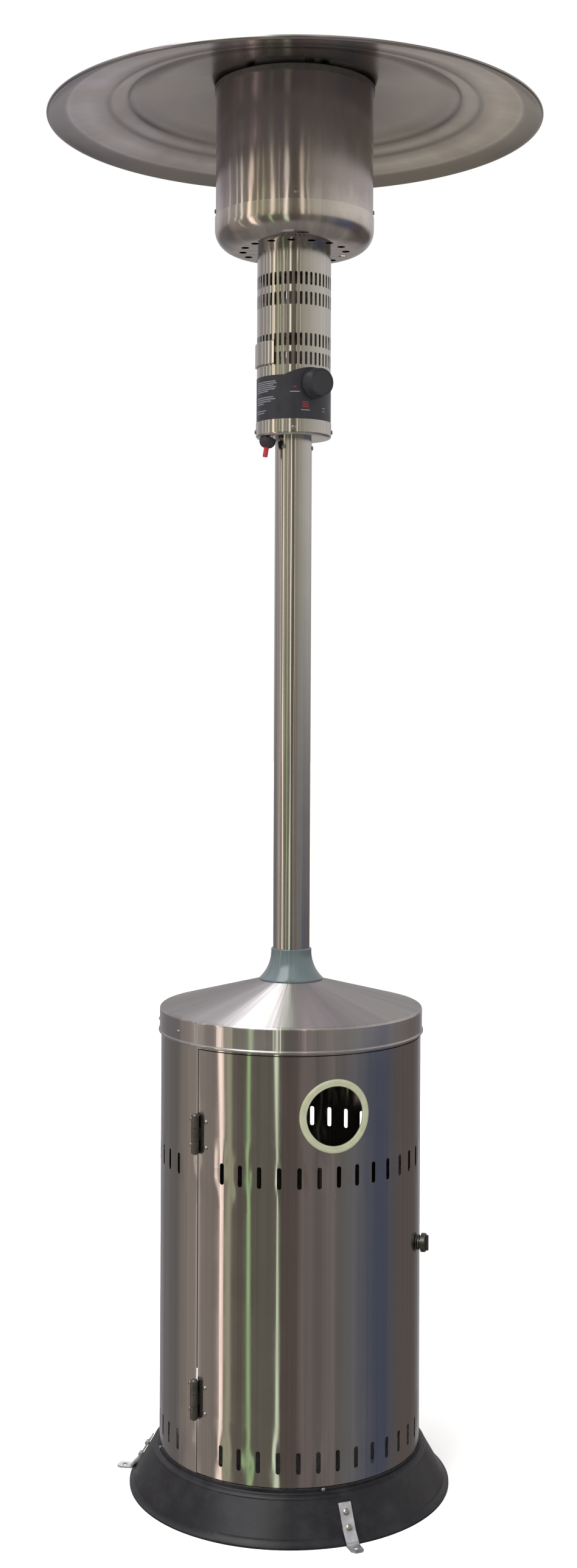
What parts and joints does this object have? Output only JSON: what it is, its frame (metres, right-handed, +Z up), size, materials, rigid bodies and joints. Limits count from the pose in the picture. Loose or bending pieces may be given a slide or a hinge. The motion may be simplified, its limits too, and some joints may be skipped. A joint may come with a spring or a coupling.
{
  "type": "outdoor heater",
  "caption": "Free-standing mushroom gas patio heater: round cylinder housing with a hinged door, tall pole, slotted burner head and wide disc reflector.",
  "frame": {"origin": "on the floor, at the middle of the round base", "axes": "+Z up along the pole; the housing door faces -Y; +X is to the right seen from the door"},
  "size_m": [0.804, 0.804, 2.288],
  "materials": {
    "brushed_housing": "vertically brushed stainless steel",
    "bright_steel": "bright polished stainless steel",
    "collar_enamel": "glossy grey enamel",
    "black_enamel": "semi-gloss black enamel",
    "zinc_plate": "bright zinc plate",
    "screw_steel": "plated steel",
    "hinge_steel": "dull steel",
    "trim_plastic": "cream moulded plastic",
    "latch_black": "black moulded",
    "label_black": "black printed plate",
    "knob_black": "black moulded",
    "button_red": "red moulded",
    "boot_rubber": "black rubber",
    "inner_steel": "plain steel",
    "valve_brass": "machined brass",
    "inner_plastic": "moulded insulator",
    "reflector_satin": "satin metal"
  },
  "bodies": {
    "stand": {"base_pan": "black_enamel", "floor_plate": "zinc_plate", "anchor_bracket_1": "zinc_plate", "anchor_bracket_2": "zinc_plate", "anchor_bracket_3": "zinc_plate", "bracket_screws": "screw_steel", "housing_shell": "brushed_housing", "latch_strike": "zinc_plate", "support_post_1": "zinc_plate", "support_post_2": "zinc_plate", "support_post_3": "zinc_plate", "pole_seat": "zinc_plate", "seat_bolts": "screw_steel", "pole": "bright_steel", "lid_cone": "bright_steel", "collar": "collar_enamel", "housing_screws": "screw_steel", "hinge_leaf_fixed_lower": "hinge_steel", "hinge_leaf_fixed_upper": "hinge_steel", "hinge_pin_lower": "hinge_steel", "hinge_pin_upper": "hinge_steel", "head_base_cup": "bright_steel", "head_spigot": "inner_steel", "head_housing": "bright_steel", "access_cover": "bright_steel", "head_liner": "inner_steel", "label_panel": "label_black", "head_screws": "screw_steel", "gas_valve": "valve_brass", "gas_inlet": "valve_brass", "outlet_pipe": "inner_steel", "gas_jet": "valve_brass", "mixing_tube": "inner_steel", "burner_plate": "inner_steel", "burner_head": "inner_steel", "pilot_tube": "inner_steel", "thermocouple": "valve_brass", "ignition_electrode": "inner_plastic", "tilt_switch": "inner_plastic", "igniter_body": "inner_plastic", "igniter_boot": "boot_rubber", "emitter_bowl": "bright_steel", "emitter_screen": "bright_steel", "emitter_top_plate": "inner_steel", "reflector": "reflector_satin", "reflector_studs": "screw_steel", "reflector_spacers": "screw_steel", "wing_nuts": "screw_steel"},
    "door": {"door_panel": "brushed_housing", "porthole_trim": "trim_plastic", "hinge_leaf_door_lower": "hinge_steel", "hinge_leaf_door_upper": "hinge_steel", "door_screws": "screw_steel", "latch_bush": "latch_black", "latch_nut": "latch_black"},
    "latch": {"latch_knob": "latch_black", "latch_cam": "latch_black"},
    "stem_slide": {"stem_collar": "valve_brass"},
    "knob": {"valve_stem": "valve_brass", "control_knob": "knob_black"},
    "igniter": {"igniter_button": "button_red"}
  },
  "joints": [
    {"name": "door_hinge", "type": "hinge", "parent": "stand", "child": "door", "pos_m": [-0.19159, -0.10295, 0.391], "axis": [0, 0, -1], "range_deg": [0, 120]},
    {"name": "latch_turn", "type": "hinge", "parent": "door", "child": "latch", "pos_m": [0.17796, -0.11337, 0.398], "axis": [0.8434, -0.5373, 0], "range_deg": [0, 90]},
    {"name": "knob_push", "type": "slide", "parent": "stand", "child": "stem_slide", "axis": [-0.225, 0.9744, 0], "range_m": [0, 0.004], "stiffness_N_per_m": 600, "springref_m": -0.002},
    {"name": "knob_turn", "type": "hinge", "parent": "stem_slide", "child": "knob", "pos_m": [0.01462, -0.06333, 1.774], "axis": [0.225, -0.9744, 0], "range_deg": [0, 180]},
    {"name": "igniter_press", "type": "slide", "parent": "stand", "child": "igniter", "axis": [0.171, 0.0302, 0.9848], "range_m": [0, 0.006], "stiffness_N_per_m": 500, "springref_m": -0.002}
  ]
}
